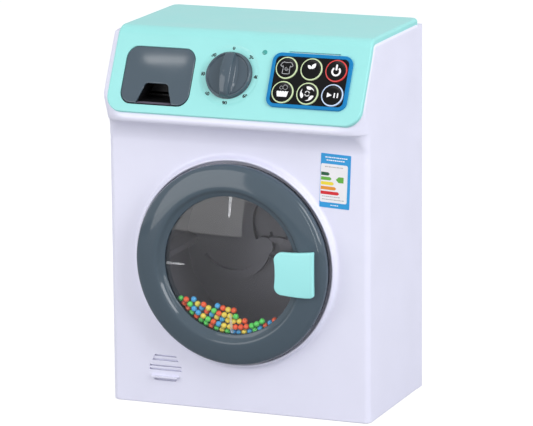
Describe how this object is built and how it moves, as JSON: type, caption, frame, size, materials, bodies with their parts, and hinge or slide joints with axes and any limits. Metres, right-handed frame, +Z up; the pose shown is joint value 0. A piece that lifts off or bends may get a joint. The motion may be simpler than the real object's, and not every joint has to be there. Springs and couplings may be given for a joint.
{
  "type": "toy washing machine",
  "caption": "Toy front-loading washing machine with a round window door, pull latch, turning drum, detergent drawer, programme knob and push buttons.",
  "frame": {"origin": "middle of the base, under the centre of the whole toy's box", "axes": "+Z up, front with the door towards -Y, +X to the right as seen from the front"},
  "size_m": [0.2, 0.136, 0.2764],
  "materials": {
    "white_plastic": "satin moulded",
    "mint_plastic": "satin moulded",
    "grey_plastic": "polished dark grey",
    "dark_plastic": "matt dark grey",
    "drum_plastic": "matt charcoal",
    "blue_plastic": "printed blue",
    "black_plastic": "glossy black",
    "button_green": "glossy pale green",
    "button_red": "glossy red",
    "button_blue": "glossy pale blue",
    "clear_plastic": "clear polystyrene",
    "bead_plastic": "glossy beads in four colours",
    "lens_plastic": "tinted lens",
    "sticker": "printed film",
    "gear_plastic": "white acetal",
    "rubber_grey": "soft grey",
    "circuit": "green laminate",
    "steel": "zinc plated",
    "motor_can": "plain can",
    "bronze": "sintered",
    "cell": "wrapped can"
  },
  "bodies": {
    "case": {"front_shell": "white_plastic", "rear_cover": "white_plastic", "control_panel": "mint_plastic", "drawer_housing": "dark_plastic", "detent_finger": "steel", "keypad_frame": "blue_plastic", "keypad_face": "black_plastic", "rubber_mat": "rubber_grey", "keypad_board": "circuit", "keypad_screws": "steel", "indicator_lens": "lens_plastic", "energy_label": "sticker", "hinge_bracket": "white_plastic", "hinge_pin": "steel", "tub": "dark_plastic", "drum_bush": "bronze", "idler_axle": "steel", "drive_motor": "motor_can", "gearbox_plate": "white_plastic", "battery_box": "dark_plastic", "battery_cells": "cell", "battery_contacts": "steel", "battery_door": "white_plastic", "battery_screw": "steel", "speaker": "black_plastic", "main_board": "circuit", "case_screws": "steel", "panel_screws": "steel", "tub_screws": "steel", "gearbox_screws": "steel", "board_screws": "steel"},
    "door": {"door_ring": "grey_plastic", "door_back": "dark_plastic", "door_window": "clear_plastic", "bead_pane": "clear_plastic", "beads": "bead_plastic", "door_screws": "steel", "latch_pin": "steel", "latch_spring": "steel"},
    "latch": {"door_latch": "mint_plastic"},
    "drawer": {"detergent_drawer": "grey_plastic"},
    "knob": {"programme_knob": "grey_plastic", "knob_ratchet": "gear_plastic", "knob_screw": "steel"},
    "key_1": {"button_1": "button_green"},
    "key_2": {"button_2": "button_green"},
    "key_3": {"button_3": "button_red"},
    "key_4": {"button_4": "button_green"},
    "key_5": {"button_5": "button_green"},
    "key_6": {"button_6": "button_blue"},
    "drum": {"drum": "drum_plastic", "drum_shaft": "steel", "drum_gear": "gear_plastic"},
    "idler": {"idler_gear": "gear_plastic"},
    "pinion": {"motor_pinion": "gear_plastic"}
  },
  "joints": [
    {"name": "door_swing", "type": "hinge", "parent": "case", "child": "door", "pos_m": [-0.0675, -0.0559, 0.1109], "axis": [0, 0, -1], "range_deg": [0, 105]},
    {"name": "latch_pull", "type": "hinge", "parent": "door", "child": "latch", "pos_m": [0.0595, -0.059, 0.1109], "axis": [0, 0, 1], "range_deg": [0, 12], "stiffness_Nm_per_rad": 0.05, "springref_deg": -5.73},
    {"name": "drawer_slide", "type": "slide", "parent": "case", "child": "drawer", "axis": [0, -1, 0], "range_m": [0, 0.026]},
    {"name": "knob_turn", "type": "hinge", "parent": "case", "child": "knob", "pos_m": [-0.0039, -0.04911, 0.24651], "axis": [0, -0.8829, 0.4695], "continuous": true},
    {"name": "key_1_press", "type": "slide", "parent": "case", "child": "key_1", "axis": [0, 0.8829, -0.4695], "range_m": [0, 0.001], "stiffness_N_per_m": 800, "springref_m": -0.0005},
    {"name": "key_2_press", "type": "slide", "parent": "case", "child": "key_2", "axis": [0, 0.8829, -0.4695], "range_m": [0, 0.001], "stiffness_N_per_m": 800, "springref_m": -0.0005},
    {"name": "key_3_press", "type": "slide", "parent": "case", "child": "key_3", "axis": [0, 0.8829, -0.4695], "range_m": [0, 0.001], "stiffness_N_per_m": 800, "springref_m": -0.0005},
    {"name": "key_4_press", "type": "slide", "parent": "case", "child": "key_4", "axis": [0, 0.8829, -0.4695], "range_m": [0, 0.001], "stiffness_N_per_m": 800, "springref_m": -0.0005},
    {"name": "key_5_press", "type": "slide", "parent": "case", "child": "key_5", "axis": [0, 0.8829, -0.4695], "range_m": [0, 0.001], "stiffness_N_per_m": 800, "springref_m": -0.0005},
    {"name": "key_6_press", "type": "slide", "parent": "case", "child": "key_6", "axis": [0, 0.8829, -0.4695], "range_m": [0, 0.001], "stiffness_N_per_m": 800, "springref_m": -0.0005},
    {"name": "drum_spin", "type": "hinge", "parent": "case", "child": "drum", "pos_m": [-0.0015, -0.017, 0.1109], "axis": [0, 1, 0], "continuous": true},
    {"name": "idler_spin", "type": "hinge", "parent": "case", "child": "idler", "pos_m": [-0.0015, 0.026, 0.13622], "axis": [0, 1, 0], "continuous": true},
    {"name": "pinion_spin", "type": "hinge", "parent": "case", "child": "pinion", "pos_m": [-0.0015, 0.031, 0.15594], "axis": [0, 1, 0], "continuous": true}
  ],
  "couplings": [
    {"joint": "idler_spin", "follows": "drum_spin", "ratio": -3.5},
    {"joint": "pinion_spin", "follows": "drum_spin", "ratio": 8.75}
  ]
}
